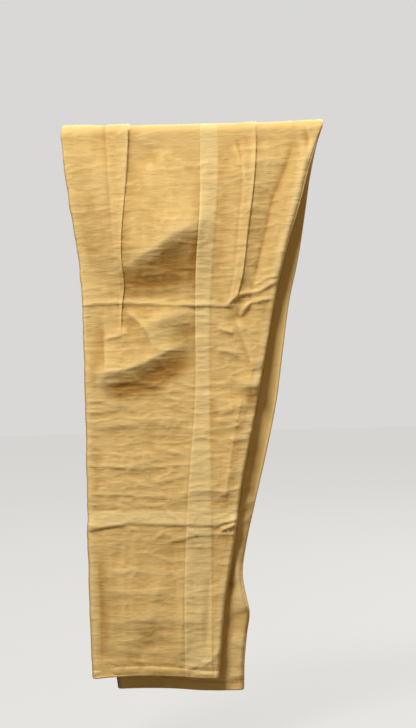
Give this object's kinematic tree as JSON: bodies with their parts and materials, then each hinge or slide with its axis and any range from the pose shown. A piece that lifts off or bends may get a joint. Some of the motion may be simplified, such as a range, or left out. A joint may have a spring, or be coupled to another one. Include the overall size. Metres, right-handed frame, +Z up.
{
  "type": "pleated trousers",
  "caption": "Casual pleated cotton trousers, folded leg on leg and hung over a hanger bar, with a zip fly and a buttoned waistband.",
  "frame": {"origin": "on the axis of the bar that the cloth folds over, half way along the visible fold", "axes": "+X along the bar towards the crotch and the inseams, -Y the side the legs hang on, +Y the side the trunk hangs on, +Z up"},
  "size_m": [0.3246, 0.0648, 0.6818],
  "materials": {
    "cotton": "matte slub weave",
    "cotton_light": "matte slub weave",
    "cotton_dark": "matte slub weave",
    "lining": "matte plain weave",
    "white_web": "matte woven tape",
    "zip_tape": "matte woven tape",
    "brass": "satin",
    "button_resin": "satin"
  },
  "bodies": {
    "trunk": {"right_hip_front_outer": "cotton", "right_hip_front_inner": "cotton", "right_hip_back": "cotton", "right_hip_outseam": "cotton_dark", "right_hip_panel_seam": "cotton_dark", "right_hip_pleat_outer": "cotton_light", "right_hip_pleat_inner": "cotton_light", "right_pocket_bag": "lining", "right_waistband_front": "cotton", "right_waist_elastic": "white_web", "right_belt_loop_side": "cotton", "right_belt_loop_front": "cotton", "zip_teeth_right": "brass", "zip_tape_right": "zip_tape", "left_hip_front_outer": "cotton", "left_hip_front_inner": "cotton", "left_hip_back": "cotton", "left_hip_outseam": "cotton_dark", "left_hip_panel_seam": "cotton_dark", "left_hip_pleat_outer": "cotton_light", "left_hip_pleat_inner": "cotton_light", "left_pocket_bag": "lining", "left_waistband_front": "cotton", "left_waist_elastic": "white_web", "left_belt_loop_side": "cotton", "left_belt_loop_front": "cotton", "zip_teeth_left": "brass", "zip_tape_left": "zip_tape", "front_rise_seam": "cotton_dark", "back_rise_seam": "cotton_dark", "waistband_back": "cotton", "waist_button": "button_resin", "care_label": "white_web", "zip_top_stop": "brass", "zip_bottom_stop": "brass"},
    "right_leg": {"right_leg_front_outer": "cotton", "right_leg_front_inner": "cotton", "right_leg_back": "cotton", "right_leg_outseam": "cotton_dark", "right_inseam": "cotton_dark", "right_leg_panel_seam": "cotton_dark", "right_hem": "cotton_light", "right_leg_pleat_outer": "cotton_light", "right_leg_pleat_inner": "cotton_light"},
    "left_leg": {"left_leg_front_outer": "cotton", "left_leg_front_inner": "cotton", "left_leg_back": "cotton", "left_leg_outseam": "cotton_dark", "left_inseam": "cotton_dark", "left_leg_panel_seam": "cotton_dark", "left_hem": "cotton_light", "left_leg_pleat_outer": "cotton_light", "left_leg_pleat_inner": "cotton_light"},
    "zip_slider": {"zip_slider": "brass"},
    "zip_pull_tab": {"zip_pull_tab": "brass"}
  },
  "joints": [
    {"name": "right_leg_swing", "type": "hinge", "parent": "trunk", "child": "right_leg", "pos_m": [0, 0, 0], "axis": [-1, 0, 0], "range_deg": [0, 45]},
    {"name": "left_leg_swing", "type": "hinge", "parent": "trunk", "child": "left_leg", "pos_m": [0, 0, 0], "axis": [-1, 0, 0], "range_deg": [0, 22.5]},
    {"name": "zip_slide", "type": "slide", "parent": "trunk", "child": "zip_slider", "axis": [0.2783, -0.0378, 0.9597], "range_m": [0, 0.094]},
    {"name": "pull_tab_swing", "type": "hinge", "parent": "zip_slider", "child": "zip_pull_tab", "pos_m": [0.10562, 0.01705, -0.16982], "axis": [0, -1, 0], "range_deg": [-8, 140]}
  ],
  "couplings": [
    {"joint": "left_leg_swing", "follows": "right_leg_swing", "ratio": 0.5}
  ]
}
